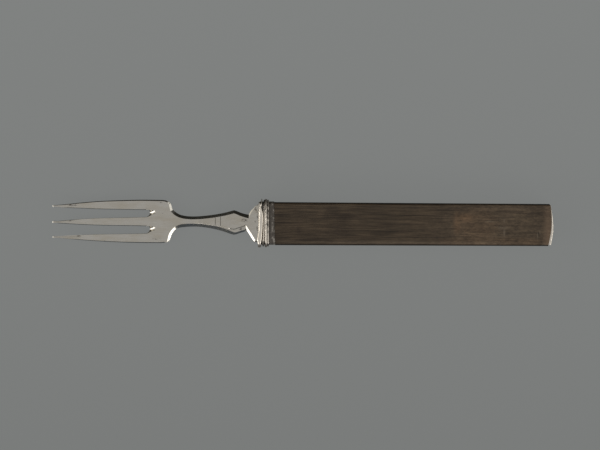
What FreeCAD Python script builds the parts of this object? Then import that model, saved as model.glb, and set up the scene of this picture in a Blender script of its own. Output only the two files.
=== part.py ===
import FreeCAD, Part
import math
import os
import Sketcher

# Three-tined steel table fork with a flat hardwood handle and reeded silver mounts.
# Units are millimetres. +X runs from the tines to the butt, +Z is up as the fork lies on a
# table, and the origin is on the table under the middle of the fork's length.

doc = FreeCAD.newDocument("table_fork")
sheet = doc.addObject("Spreadsheet::Sheet", "Sizes")

SIZES = (
    # along the fork
    ("overall_length", 205.0),
    ("tine_length", 39.0),
    ("slot_run_in", 2.9),
    ("head_length", 7.5),
    ("neck_root_length", 8.0),
    ("neck_length", 20.1),
    ("knop_length", 5.1),
    ("bolster_length", 4.8),
    ("ferrule_length", 6.8),
    ("tang_length", 58.0),
    # steel, across the fork
    ("tine_wide_root", 4.0),
    ("tine_wide_tip", 0.7),
    ("tine_pitch_root", 6.85),
    ("tine_pitch_tip", 6.4),
    ("middle_tine_extra", 0.4),
    ("corner_round", 2.3),
    ("shoulder_round", 5.5),
    ("neck_wide", 4.4),
    ("flare_wide", 9.9),
    ("waist_wide", 7.0),
    ("head_set_over", 0.6),
    # steel, through its thickness
    ("head_thick", 2.4),
    ("tine_thick_tip", 0.7),
    ("neck_thick", 3.8),
    ("waist_thick", 4.4),
    ("bolster_thick", 5.2),
    ("tine_bevel", 0.45),
    ("neck_bevel", 1.15),
    ("head_height", 2.6),
    ("tine_dip", 0.8),
    ("tip_rise", 1.5),
    ("line_wide", 0.3),
    ("line_deep", 0.2),
    ("line_gap", 2.0),
    ("line_ahead_of_flare", 5.6),
    ("tang_wide_root", 6.0),
    ("tang_wide_end", 3.0),
    ("tang_thick_root", 3.6),
    ("tang_thick_end", 2.0),
    # silver mounts
    ("ferrule_wall", 0.5),
    ("front_plate_thick", 0.6),
    ("reed_proud", 1.1),
    ("front_reed_wide", 1.9),
    ("middle_reed_wide", 1.2),
    ("rear_reed_wide", 0.7),
    ("reed_gap", 0.35),
    ("butt_plate_thick", 0.5),
    ("pin_radius", 0.5),
    ("pin_length", 6.0),
    ("pin_spacing", 9.0),
    # wooden handle
    ("handle_wide", 17.8),
    ("handle_wide_butt", 17.4),
    ("handle_thick", 10.0),
    ("handle_bevel", 0.8),
    ("butt_bevel_run", 2.9),
    ("butt_bevel_drop", 0.6),
    ("butt_crown", 1.1),
    ("bore_clearance", 0.5),
    ("bore_spare", 1.0),
    ("tenon_clearance", 0.05),
)

for row, (alias, value) in enumerate(SIZES, start=1):
    sheet.set("A%d" % row, alias)
    sheet.set("B%d" % row, "%g" % value)
    sheet.setAlias("B%d" % row, alias)
doc.recompute()


class Length:
    """A length held both as a sheet formula and as its present value."""

    def __init__(self, text, value):
        self.text = text
        self.value = value

    def __add__(self, other):
        other = as_length(other)
        return Length("(%s+%s)" % (self.text, other.text), self.value + other.value)

    def __sub__(self, other):
        other = as_length(other)
        return Length("(%s-%s)" % (self.text, other.text), self.value - other.value)

    def __mul__(self, other):
        other = as_length(other)
        return Length("(%s*%s)" % (self.text, other.text), self.value * other.value)

    def __truediv__(self, other):
        other = as_length(other)
        return Length("(%s/%s)" % (self.text, other.text), self.value / other.value)

    def __neg__(self):
        return Length("(0-%s)" % self.text, -self.value)


def as_length(item):
    if isinstance(item, Length):
        return item
    return Length("%.9g" % item, float(item))


def root(item):
    return Length("sqrt(%s)" % item.text, math.sqrt(item.value))


def least(one, two):
    one = as_length(one)
    two = as_length(two)
    return Length("min(%s;%s)" % (one.text, two.text), min(one.value, two.value))


def size(alias):
    return Length("Sizes.%s" % alias, dict(SIZES)[alias])


def drive(thing, prop, length):
    """Give a property its present value and bind it to the sheet."""
    length = as_length(length)
    thing.setExpression(prop, length.text)


NOUGHT = as_length(0)

# ---------------------------------------------------------------- stations along the fork

tips = -size("overall_length") / 2
tine_root = tips + size("tine_length")
head_end = tine_root + size("head_length")
neck_start = head_end + size("neck_root_length")
flare = neck_start + size("neck_length")
waist = flare + size("knop_length")
plate_front = waist + size("bolster_length")
plate_back = plate_front + size("front_plate_thick")
wood_front = plate_front + size("ferrule_length")
butt_end = size("overall_length") / 2
wood_end = butt_end - size("butt_plate_thick")
wood_side_end = wood_end - size("butt_crown")

axis_height = size("handle_thick") / 2 + size("reed_proud")
head_half = size("tine_pitch_root") + size("tine_wide_root") / 2
neck_half = size("neck_wide") / 2


# ---------------------------------------------------------------- helpers

def origin_plane(body, role):
    return [item for item in body.Origin.OriginFeatures if item.Role == role][0]


def new_body(name):
    body = doc.addObject("PartDesign::Body", name)
    body.Label = name
    return body


def sketch_on(body, name, role, offset):
    """A sketch on one of the body's own planes, moved along that plane's normal."""
    sketch = body.newObject("Sketcher::SketchObject", name)
    sketch.AttachmentSupport = [(origin_plane(body, role), "")]
    sketch.MapMode = "FlatFace"
    drive(sketch, "AttachmentOffset.Base.z", offset)
    return sketch


def arc_through(first, last, radius, turn):
    """Arc from first to last; turn +1 bends to the left of the way travelled, -1 to the right."""
    mid_x = (first[0] + last[0]) / 2
    mid_y = (first[1] + last[1]) / 2
    dx = last[0] - first[0]
    dy = last[1] - first[1]
    chord = math.hypot(dx, dy)
    rise = math.sqrt(max(radius * radius - chord * chord / 4, 0.0))
    centre_x = mid_x - turn * dy / chord * rise
    centre_y = mid_y + turn * dx / chord * rise
    angle_first = math.atan2(first[1] - centre_y, first[0] - centre_x)
    angle_last = math.atan2(last[1] - centre_y, last[0] - centre_x)
    circle = Part.Circle(FreeCAD.Vector(centre_x, centre_y, 0), FreeCAD.Vector(0, 0, 1), radius)
    if turn > 0:
        return Part.ArcOfCircle(circle, angle_first, angle_last)
    return Part.ArcOfCircle(circle, angle_last, angle_first)


def draw_loop(sketch, corners):
    """A closed outline. A corner is (x, y), or (x, y, radius, turn, centre x) before an arc."""
    base = len(sketch.Geometry)
    count = len(corners)
    starts = []
    for index, corner in enumerate(corners):
        after = corners[(index + 1) % count]
        here = (corner[0].value, corner[1].value)
        there = (after[0].value, after[1].value)
        if len(corner) == 2:
            line = Part.LineSegment(FreeCAD.Vector(here[0], here[1], 0),
                                    FreeCAD.Vector(there[0], there[1], 0))
            sketch.addGeometry(line, False)
            starts.append((1, 2))
        else:
            sketch.addGeometry(arc_through(here, there, corner[2].value, corner[3]), False)
            starts.append((1, 2) if corner[3] > 0 else (2, 1))
    for index in range(count):
        before = (index - 1) % count
        sketch.addConstraint(Sketcher.Constraint("Coincident", base + before, starts[before][1],
                                                 base + index, starts[index][0]))
    for index, corner in enumerate(corners):
        across = sketch.addConstraint(Sketcher.Constraint(
            "DistanceX", base + index, starts[index][0], corner[0].value))
        drive(sketch, "Constraints[%d]" % across, corner[0])
        along = sketch.addConstraint(Sketcher.Constraint(
            "DistanceY", base + index, starts[index][0], corner[1].value))
        drive(sketch, "Constraints[%d]" % along, corner[1])
        if len(corner) > 2:
            bend = sketch.addConstraint(Sketcher.Constraint(
                "DistanceX", base + index, 3, corner[4].value))
            drive(sketch, "Constraints[%d]" % bend, corner[4])


def draw_circle(sketch, across, up, radius):
    circle = Part.Circle(FreeCAD.Vector(across.value, up.value, 0), FreeCAD.Vector(0, 0, 1),
                         radius.value)
    index = sketch.addGeometry(circle, False)
    for kind, length in (("DistanceX", across), ("DistanceY", up)):
        place = sketch.addConstraint(Sketcher.Constraint(kind, index, 3, length.value))
        drive(sketch, "Constraints[%d]" % place, length)
    bend = sketch.addConstraint(Sketcher.Constraint("Radius", index, radius.value))
    drive(sketch, "Constraints[%d]" % bend, radius)


def bevelled_loop(across, up, wide, thick, bevel_wide, bevel_thick):
    """The eight corners of a rectangle with its corners cut off, about (across, up)."""
    half_w = as_length(wide) / 2
    half_t = as_length(thick) / 2
    flat_w = half_w - bevel_wide
    flat_t = half_t - bevel_thick
    return [
        (across - flat_w, up - half_t),
        (across + flat_w, up - half_t),
        (across + half_w, up - flat_t),
        (across + half_w, up + flat_t),
        (across + flat_w, up + half_t),
        (across - flat_w, up + half_t),
        (across - half_w, up + flat_t),
        (across - half_w, up - flat_t),
    ]


def cross_section(body, name, station, corners):
    sketch = sketch_on(body, name, "YZ_Plane", station)
    draw_loop(sketch, corners)
    return sketch


def loft(body, name, sections, ruled=False):
    feature = body.newObject("PartDesign::AdditiveLoft", name)
    feature.Profile = sections[0]
    feature.Sections = sections[1:]
    feature.Ruled = ruled
    feature.Closed = False
    doc.recompute()
    return feature


def pad(body, name, sketch, length):
    feature = body.newObject("PartDesign::Pad", name)
    feature.Profile = sketch
    drive(feature, "Length", length)
    doc.recompute()
    return feature


def pocket(body, name, sketch, length, against_normal):
    """Cut from the sketch. A pocket runs against the sketch normal unless it is reversed."""
    before = body.Shape.Volume
    feature = body.newObject("PartDesign::Pocket", name)
    feature.Profile = sketch
    feature.Reversed = not against_normal
    drive(feature, "Length", length)
    doc.recompute()
    if body.Shape.Volume >= before:
        raise RuntimeError("%s removed nothing" % name)
    return feature


def edges_where(shape, wanted):
    return ["Edge%d" % (index + 1) for index, edge in enumerate(shape.Edges) if wanted(edge)]


def lies_at_height(edge, height):
    box = edge.BoundBox
    return abs(box.ZMin - height) < 1e-4 and abs(box.ZMax - height) < 1e-4


def lies_at_station(edge, station):
    box = edge.BoundBox
    return abs(box.XMin - station) < 1e-4 and abs(box.XMax - station) < 1e-4


# ---------------------------------------------------------------- steel forging

steel = new_body("steel_blade")

# The head is a flat plate cut like a comb at the front, where the three tines carry on, and
# drawn in at the back by a round shoulder into the neck. It sits a little to one side.
side = size("head_set_over")
corner_r = least(size("corner_round"), (head_half - neck_half) * 0.45)
shoulder_r = size("shoulder_round")
corner_x = head_end
corner_y = head_half - corner_r
shoulder_y = neck_half + shoulder_r
reach_y = shoulder_y - corner_y
reach_x = root((corner_r + shoulder_r) * (corner_r + shoulder_r) - reach_y * reach_y)
shoulder_x = corner_x + reach_x
turn_x = corner_x + reach_x * corner_r / (corner_r + shoulder_r)
turn_y = corner_y + reach_y * corner_r / (corner_r + shoulder_r)

tine_half = size("tine_wide_root") / 2
slot_half = (size("tine_pitch_root") - size("tine_wide_root")) / 2
slot_inner = tine_half
slot_outer = tine_half + slot_half * 2
slot_straight = tine_root + least(size("slot_run_in"), size("head_length") * 0.6) - slot_half

plate_bottom = size("head_height") - size("head_thick") / 2
plan = sketch_on(steel, "head_plan", "XY_Plane", plate_bottom)
draw_loop(plan, [
    (tine_root, side - head_half),
    (head_end, side - head_half, corner_r, 1, head_end),
    (turn_x, side - turn_y, shoulder_r, -1, shoulder_x),
    (shoulder_x, side - neck_half),
    (shoulder_x, side + neck_half, shoulder_r, -1, shoulder_x),
    (turn_x, side + turn_y, corner_r, 1, head_end),
    (head_end, side + head_half),
    (tine_root, side + head_half),
    (tine_root, side + slot_outer),
    (slot_straight, side + slot_outer, slot_half, -1, slot_straight),
    (slot_straight, side + slot_inner),
    (tine_root, side + slot_inner),
    (tine_root, side - slot_inner),
    (slot_straight, side - slot_inner, slot_half, -1, slot_straight),
    (slot_straight, side - slot_outer),
    (tine_root, side - slot_outer),
])
head = pad(steel, "head_pad", plan, size("head_thick"))

plate_top_now = plate_bottom.value + size("head_thick").value


def is_head_rim(edge):
    flat = lies_at_height(edge, plate_top_now) or lies_at_height(edge, plate_bottom.value)
    if not flat:
        return False
    return not (lies_at_station(edge, tine_root.value) or lies_at_station(edge, shoulder_x.value))


head_bevel = steel.newObject("PartDesign::Chamfer", "head_bevel")
head_bevel.Base = (head, edges_where(head.Shape, is_head_rim))
drive(head_bevel, "Size", size("tine_bevel"))
doc.recompute()

# Tines: bevelled bars that swell quickly from a fine point and dip before they turn up.
# Each pair is (part of the way from tip to root, part of the full width reached there).
TINE_SWELL = ((1.0, 1.0), (0.72, 0.88), (0.5, 0.76), (0.3, 0.55), (0.17, 0.32), (0.08, 0.15), (0.0, 0.0))


def tine_height(part_way):
    """Mid height at a part of the way from tip to root, level where the tine leaves the head."""
    out = 1.0 - part_way
    dip = size("tine_dip") * (6.75 * out * out * (1.0 - out))
    rise = size("tip_rise") * (out ** 3)
    return size("head_height") - dip + rise


def make_tine(name, lean, extra):
    """lean is -1, 0 or 1: which side of the middle the tine stands on."""
    sections = []
    for number, (part_way, swell) in enumerate(TINE_SWELL):
        station = tine_root - (size("tine_length") + extra) * (1.0 - part_way)
        wide = size("tine_wide_tip") + (size("tine_wide_root") - size("tine_wide_tip")) * swell
        thick_gain = (size("head_thick") - size("tine_thick_tip")) * (0.35 * swell + 0.65 * part_way)
        thick = size("tine_thick_tip") + thick_gain
        bevel = size("tine_bevel") * (0.35 + 0.65 * swell)
        pitch = size("tine_pitch_tip") + (size("tine_pitch_root") - size("tine_pitch_tip")) * part_way
        corners = bevelled_loop(side + pitch * lean, tine_height(part_way), wide, thick, bevel, bevel)
        sections.append(cross_section(steel, "%s_section_%d" % (name, number), station, corners))
    return loft(steel, name, sections)


long_tine = size("middle_tine_extra")
make_tine("left_tine", 1, NOUGHT - long_tine)
make_tine("middle_tine", 0, NOUGHT)
make_tine("right_tine", -1, NOUGHT - long_tine)


# Neck: rises from the head to the handle's axis while it swells into the flare.
def climb(part_way):
    """How much of the rise from head to handle is done at a part of the neck."""
    part_way = as_length(part_way)
    return part_way * part_way * (as_length(3) - part_way * 2)


def neck_section(name, station, along, wide, thick, bevel_wide, bevel_thick):
    """along is the part of the way from the shoulder to the waist."""
    done = climb(along)
    height = size("head_height") + (axis_height - size("head_height")) * done
    across = side * (as_length(1) - done)
    corners = bevelled_loop(across, height, wide, thick, bevel_wide, bevel_thick)
    return cross_section(steel, name, station, corners)


neck_run = flare - shoulder_x
flare_part = 0.82
bevel_gain = size("neck_bevel") - size("tine_bevel")
thick_gain = size("neck_thick") - size("head_thick")
flare_gain = size("flare_wide") - size("neck_wide")
flare_thick = size("waist_thick") - size("neck_thick")

# (part of the neck, part of the swell done, part of the bevel and thickness reached)
NECK_SWELL = ((0.0, 0.0, 0.0), (0.1, 0.0, 0.45), (0.28, 0.0, 1.0), (0.45, 0.1, 1.0),
              (0.62, 0.33, 1.0), (0.8, 0.58, 1.0), (0.91, 0.82, 1.0), (1.0, 1.0, 1.0))
neck_sections = []
for number, (part_way, swell, made) in enumerate(NECK_SWELL):
    neck_sections.append(neck_section(
        "neck_section_%d" % number,
        shoulder_x + neck_run * part_way,
        part_way * flare_part,
        size("neck_wide") + flare_gain * swell,
        size("head_thick") + thick_gain * made + flare_thick * swell,
        size("tine_bevel") + bevel_gain * made,
        size("tine_bevel") + bevel_gain * (made * 0.85)))
loft(steel, "neck", neck_sections)

KNOP_SWELL = ((0.0, 1.0), (0.3, 0.68), (0.65, 0.2), (1.0, 0.0))
knop_sections = []
for number, (part_way, swell) in enumerate(KNOP_SWELL):
    knop_sections.append(neck_section(
        "knop_section_%d" % number,
        flare + size("knop_length") * part_way,
        flare_part + (1.0 - flare_part) * part_way,
        size("waist_wide") + (size("flare_wide") - size("waist_wide")) * swell,
        size("waist_thick"),
        size("neck_bevel"),
        size("tine_bevel") + bevel_gain * 0.85))
loft(steel, "knop", knop_sections)

bolster_bevel = size("tine_bevel") + bevel_gain * 0.85
bolster_sections = [
    cross_section(steel, "bolster_section_0", waist, bevelled_loop(
        NOUGHT, axis_height, size("waist_wide"), size("waist_thick"), size("neck_bevel"),
        bolster_bevel)),
    cross_section(steel, "bolster_section_1", plate_front, bevelled_loop(
        NOUGHT, axis_height, size("handle_wide"), size("bolster_thick"), size("neck_bevel"),
        bolster_bevel)),
]
loft(steel, "bolster", bolster_sections, ruled=True)

# Two fine engraved lines across the top of the neck, just ahead of the flare. Each cut starts
# clear above the neck and stops line_deep under the neck's own height at that station.
cut_clear = as_length(1.0)
half_cut = size("flare_wide") / 2
for number, extra_back in enumerate((size("line_gap"), NOUGHT)):
    line_x = flare - size("line_ahead_of_flare") - extra_back
    done = climb((line_x - shoulder_x) / neck_run * flare_part)
    line_mid = size("head_height") + (axis_height - size("head_height")) * done
    line_top = line_mid + size("neck_thick") / 2 + flare_thick * 0.2
    cut = sketch_on(steel, "line_plan_%d" % number, "XY_Plane", line_top + cut_clear)
    draw_loop(cut, [
        (line_x - size("line_wide") / 2, NOUGHT - half_cut),
        (line_x + size("line_wide") / 2, NOUGHT - half_cut),
        (line_x + size("line_wide") / 2, half_cut),
        (line_x - size("line_wide") / 2, half_cut),
    ])
    pocket(steel, "engraved_line_%d" % number, cut, cut_clear + size("line_deep"), True)
steel.Visibility = False

# The tang is a square taper on the back of the bolster. It is a separate primitive so that
# the cement that fills the bore can be cut to the same shape.


def make_tang(name):
    wedge = doc.addObject("Part::Wedge", name)
    for prop, length in (
        ("Ymin", NOUGHT), ("Ymax", size("tang_length")),
        ("Xmin", NOUGHT - size("tang_wide_root") / 2), ("Xmax", size("tang_wide_root") / 2),
        ("X2min", NOUGHT - size("tang_wide_end") / 2), ("X2max", size("tang_wide_end") / 2),
        ("Zmin", NOUGHT - size("tang_thick_root") / 2), ("Zmax", size("tang_thick_root") / 2),
        ("Z2min", NOUGHT - size("tang_thick_end") / 2), ("Z2max", size("tang_thick_end") / 2),
    ):
        drive(wedge, prop, length)
    wedge.Placement = FreeCAD.Placement(FreeCAD.Vector(0, 0, 0),
                                        FreeCAD.Rotation(FreeCAD.Vector(0, 0, 1), -90))
    drive(wedge, "Placement.Base.x", plate_front)
    drive(wedge, "Placement.Base.z", axis_height)
    return wedge


tang = make_tang("tang")
forging = doc.addObject("Part::MultiFuse", "fork_forging")
forging.Label = "fork_forging"
forging.Shapes = [steel, tang]
doc.recompute()

# ---------------------------------------------------------------- wooden handle

bore_wide = size("tang_wide_root") + size("bore_clearance") * 2
bore_thick = size("tang_thick_root") + size("bore_clearance") * 2
bore_end = plate_front + size("tang_length") + size("bore_spare")

handle = new_body("handle_block")
half_front = size("handle_wide") / 2
half_butt = size("handle_wide_butt") / 2
crown_radius = half_butt * half_butt / (size("butt_crown") * 2) + size("butt_crown") / 2
crown_centre = wood_end - crown_radius
handle_plan = sketch_on(handle, "handle_plan", "XY_Plane", size("reed_proud"))
draw_loop(handle_plan, [
    (wood_front, NOUGHT - half_front),
    (wood_side_end, NOUGHT - half_butt, crown_radius, 1, crown_centre),
    (wood_side_end, half_butt),
    (wood_front, half_front),
])
slab = pad(handle, "handle_slab", handle_plan, size("handle_thick"))

slab_low = size("reed_proud").value
slab_high = slab_low + size("handle_thick").value


def is_long_edge(edge):
    flat = lies_at_height(edge, slab_low) or lies_at_height(edge, slab_high)
    return flat and edge.BoundBox.XLength > size("handle_wide").value


long_edges = handle.newObject("PartDesign::Chamfer", "long_edge_bevel")
long_edges.Base = (slab, edges_where(slab.Shape, is_long_edge))
drive(long_edges, "Size", size("handle_bevel"))
doc.recompute()

# A long shallow bevel runs down to the butt on both broad faces. Its cutter carries on at the
# same slope past the end of the wood.
bevel_plan = sketch_on(handle, "butt_bevel_profile", "XZ_Plane", NOUGHT - size("handle_wide"))
bevel_from = wood_end - size("butt_bevel_run")
past_end = butt_end + 1.0
cutter_drop = size("butt_bevel_drop") * (past_end - bevel_from) / size("butt_bevel_run")
for sign, face in ((1, size("reed_proud") + size("handle_thick")), (-1, size("reed_proud"))):
    start = (bevel_from, face)
    low = (past_end, face - cutter_drop * sign)
    high = (past_end, face + as_length(sign))
    up = (bevel_from, face + as_length(sign))
    draw_loop(bevel_plan, [start, low, high, up] if sign > 0 else [start, up, high, low])
pocket(handle, "butt_bevel", bevel_plan, size("handle_wide") * 2, False)

# Tenon under the ferrule.
gap = size("tenon_clearance")
tenon_wide = size("handle_wide") - (size("ferrule_wall") + gap) * 2
tenon_thick = size("handle_thick") - (size("ferrule_wall") + gap) * 2
tenon_bevel = size("handle_bevel") * 0.8
tenon_plan = cross_section(handle, "tenon_section", plate_back, bevelled_loop(
    NOUGHT, axis_height, tenon_wide, tenon_thick, tenon_bevel, tenon_bevel))
pad(handle, "tenon", tenon_plan, wood_front - plate_back)

bore_plan = sketch_on(handle, "bore_section", "YZ_Plane", plate_back)
draw_loop(bore_plan, [
    (NOUGHT - bore_wide / 2, axis_height - bore_thick / 2),
    (bore_wide / 2, axis_height - bore_thick / 2),
    (bore_wide / 2, axis_height + bore_thick / 2),
    (NOUGHT - bore_wide / 2, axis_height + bore_thick / 2),
])
pocket(handle, "tang_bore", bore_plan, bore_end - plate_back, False)

pin_reach = butt_end + 1.0
pin_sketch = sketch_on(handle, "pin_hole_plan", "YZ_Plane", pin_reach)
for sign in (-1, 1):
    draw_circle(pin_sketch, size("pin_spacing") / 2 * sign, axis_height, size("pin_radius"))
pin_head = butt_end - size("butt_plate_thick") * 0.5
pin_tail = pin_head - size("pin_length")
pocket(handle, "pin_holes", pin_sketch, pin_reach - pin_tail, True)

# ---------------------------------------------------------------- cutler's cement

cement_block = doc.addObject("Part::Box", "cement_block")
drive(cement_block, "Length", bore_end - plate_back)
drive(cement_block, "Width", bore_wide)
drive(cement_block, "Height", bore_thick)
drive(cement_block, "Placement.Base.x", plate_back)
drive(cement_block, "Placement.Base.y", NOUGHT - bore_wide / 2)
drive(cement_block, "Placement.Base.z", axis_height - bore_thick / 2)
cement = doc.addObject("Part::Cut", "tang_cement")
cement.Label = "tang_cement"
cement.Base = cement_block
cement.Tool = make_tang("tang_hollow")
doc.recompute()

# ---------------------------------------------------------------- silver mounts

sleeve = new_body("ferrule_sleeve")
outer = bevelled_loop(NOUGHT, axis_height, size("handle_wide"), size("handle_thick"),
                      size("handle_bevel"), size("handle_bevel"))
sleeve_outer = cross_section(sleeve, "sleeve_outer", plate_back, outer)
pad(sleeve, "sleeve_wall", sleeve_outer, wood_front - plate_back)
inner_bevel = size("handle_bevel") * 0.8
sleeve_inner = cross_section(sleeve, "sleeve_inner", plate_back, bevelled_loop(
    NOUGHT, axis_height, size("handle_wide") - size("ferrule_wall") * 2,
    size("handle_thick") - size("ferrule_wall") * 2, inner_bevel, inner_bevel))
pocket(sleeve, "sleeve_hollow", sleeve_inner, wood_front - plate_back, False)

front_plate = new_body("collar_front_plate")
plate_outline = cross_section(front_plate, "plate_outline", plate_front, bevelled_loop(
    NOUGHT, axis_height, size("handle_wide"), size("handle_thick"), size("handle_bevel"),
    size("handle_bevel")))
pad(front_plate, "plate_blank", plate_outline, size("front_plate_thick"))
tang_slot = sketch_on(front_plate, "tang_slot_outline", "YZ_Plane", plate_front)
draw_loop(tang_slot, [
    (NOUGHT - size("tang_wide_root") / 2, axis_height - size("tang_thick_root") / 2),
    (size("tang_wide_root") / 2, axis_height - size("tang_thick_root") / 2),
    (size("tang_wide_root") / 2, axis_height + size("tang_thick_root") / 2),
    (NOUGHT - size("tang_wide_root") / 2, axis_height + size("tang_thick_root") / 2),
])
pocket(front_plate, "tang_slot", tang_slot, size("front_plate_thick"), False)

# Reeds: half-round wires bent round the ferrule. Each pair is (part of the wire's width,
# part of its full height), so the five sections make a rounded ridge.
REED_SHAPE = ((0.0, 0.35), (0.18, 0.78), (0.5, 1.0), (0.82, 0.78), (1.0, 0.35))


def make_reed(name, start, wide):
    reed = new_body(name)
    sections = []
    for number, (part_way, high) in enumerate(REED_SHAPE):
        stand = size("reed_proud") * high
        bevel = size("handle_bevel") + stand * 0.6
        sections.append(cross_section(reed, "%s_section_%d" % (name, number),
                                      start + wide * part_way, bevelled_loop(
            NOUGHT, axis_height, size("handle_wide") + stand * 2,
            size("handle_thick") + stand * 2, bevel, bevel)))
    loft(reed, "%s_wire" % name, sections)
    inside = cross_section(reed, "%s_inside" % name, start, bevelled_loop(
        NOUGHT, axis_height, size("handle_wide"), size("handle_thick"), size("handle_bevel"),
        size("handle_bevel")))
    pocket(reed, "%s_bore" % name, inside, wide, False)
    return reed


front_reed_start = plate_front
middle_reed_start = front_reed_start + size("front_reed_wide") + size("reed_gap")
rear_reed_start = middle_reed_start + size("middle_reed_wide") + size("reed_gap") * 0.3
front_reed = make_reed("front_reed", front_reed_start, size("front_reed_wide"))
middle_reed = make_reed("middle_reed", middle_reed_start, size("middle_reed_wide"))
rear_reed = make_reed("rear_reed", rear_reed_start, size("rear_reed_wide"))

# Butt plate: a strip of silver bent to the crowned end, as tall as the end between bevels.
butt_plate = new_body("butt_plate")
plate_half = half_butt - size("handle_bevel")
inner_x = crown_centre + root(crown_radius * crown_radius - plate_half * plate_half)
outer_radius = crown_radius + size("butt_plate_thick")
outer_x = crown_centre + root(outer_radius * outer_radius - plate_half * plate_half)
plate_low = size("reed_proud") + size("butt_bevel_drop")
plate_high = size("reed_proud") + size("handle_thick") - size("butt_bevel_drop")
butt_plan = sketch_on(butt_plate, "butt_plan", "XY_Plane", plate_low)
draw_loop(butt_plan, [
    (inner_x, NOUGHT - plate_half),
    (outer_x, NOUGHT - plate_half, outer_radius, 1, crown_centre),
    (outer_x, plate_half),
    (inner_x, plate_half, crown_radius, -1, crown_centre),
])
pad(butt_plate, "butt_strip", butt_plan, plate_high - plate_low)
plate_holes = sketch_on(butt_plate, "plate_hole_plan", "YZ_Plane", pin_reach)
for sign in (-1, 1):
    draw_circle(plate_holes, size("pin_spacing") / 2 * sign, axis_height, size("pin_radius"))
pocket(butt_plate, "plate_holes", plate_holes, size("butt_crown") * 2 + 3.0, True)

pins = []
for number, sign in enumerate((-1, 1)):
    pin = doc.addObject("Part::Cylinder", "butt_pin_%d" % number)
    drive(pin, "Radius", size("pin_radius"))
    drive(pin, "Height", size("pin_length"))
    pin.Placement = FreeCAD.Placement(FreeCAD.Vector(0, 0, 0),
                                      FreeCAD.Rotation(FreeCAD.Vector(0, 1, 0), 90))
    drive(pin, "Placement.Base.x", pin_tail)
    drive(pin, "Placement.Base.y", size("pin_spacing") / 2 * sign)
    drive(pin, "Placement.Base.z", axis_height)
    pins.append(pin)
pin_pair = doc.addObject("Part::Compound", "butt_plate_pins")
pin_pair.Label = "butt_plate_pins"
pin_pair.Links = pins
doc.recompute()

# ---------------------------------------------------------------- check and write

NODES = (forging, front_plate, sleeve, front_reed, middle_reed, rear_reed, handle, cement,
         butt_plate, pin_pair)

for item in doc.Objects:
    if "Invalid" in item.State or "Error" in item.State:
        raise RuntimeError("%s did not build" % item.Name)
for item in NODES:
    if item.Shape.isNull() or not item.Shape.isValid():
        raise RuntimeError("%s has no valid shape" % item.Name)

os.makedirs("parts", exist_ok=True)
for item in NODES:
    item.Shape.exportStep("parts/%s.step" % item.Label)
    print("%-20s %10.2f mm3  solids %d" % (item.Label, item.Shape.Volume, len(item.Shape.Solids)))
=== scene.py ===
from functools import partial
import math

import bmesh
import bpy
import numpy as np
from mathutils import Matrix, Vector, geometry


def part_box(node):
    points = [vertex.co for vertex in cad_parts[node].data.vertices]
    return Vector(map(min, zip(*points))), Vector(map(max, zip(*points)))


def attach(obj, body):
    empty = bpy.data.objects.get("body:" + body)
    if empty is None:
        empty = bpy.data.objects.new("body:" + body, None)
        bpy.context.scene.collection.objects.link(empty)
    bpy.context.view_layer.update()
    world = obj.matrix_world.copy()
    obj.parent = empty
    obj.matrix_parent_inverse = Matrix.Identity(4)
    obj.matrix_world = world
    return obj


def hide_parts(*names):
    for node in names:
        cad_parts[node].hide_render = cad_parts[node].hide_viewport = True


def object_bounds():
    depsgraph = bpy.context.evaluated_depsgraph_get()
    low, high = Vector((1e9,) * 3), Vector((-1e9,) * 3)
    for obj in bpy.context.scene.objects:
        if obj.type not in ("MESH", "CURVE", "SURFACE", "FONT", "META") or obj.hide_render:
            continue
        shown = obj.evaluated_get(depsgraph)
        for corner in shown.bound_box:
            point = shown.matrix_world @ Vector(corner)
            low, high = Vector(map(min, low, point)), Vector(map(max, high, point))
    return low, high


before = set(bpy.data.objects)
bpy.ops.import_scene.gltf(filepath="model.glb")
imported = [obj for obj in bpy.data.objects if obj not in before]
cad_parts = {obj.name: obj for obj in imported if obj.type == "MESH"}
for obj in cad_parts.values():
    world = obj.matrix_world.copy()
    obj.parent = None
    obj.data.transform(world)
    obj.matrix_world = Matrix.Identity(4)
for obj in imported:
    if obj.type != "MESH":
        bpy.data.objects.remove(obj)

# An old three-tined steel table fork: forged and filed steel, a reeded silver collar, and a flat
# handle of dark hardwood closed by a thin silver strip. +X runs from the tines to the butt.

MM = 0.001
# Points nearer than this many metres are one point.
WELD = 2e-7
cad_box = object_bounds()
tips_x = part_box("fork_forging")[0][0]
collar_low, collar_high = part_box("collar_front_plate")
axis_z = (collar_low[2] + collar_high[2]) / 2
collar_wide, collar_tall = [(collar_high[axis] - collar_low[axis]) / 2 / MM for axis in (1, 2)]


def station(along):
    """Metres in X for a distance in millimetres from the tine tips."""
    return tips_x + np.asarray(along, dtype=float) * MM


# ------------------------------------------------------------------ curves and meshes

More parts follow.
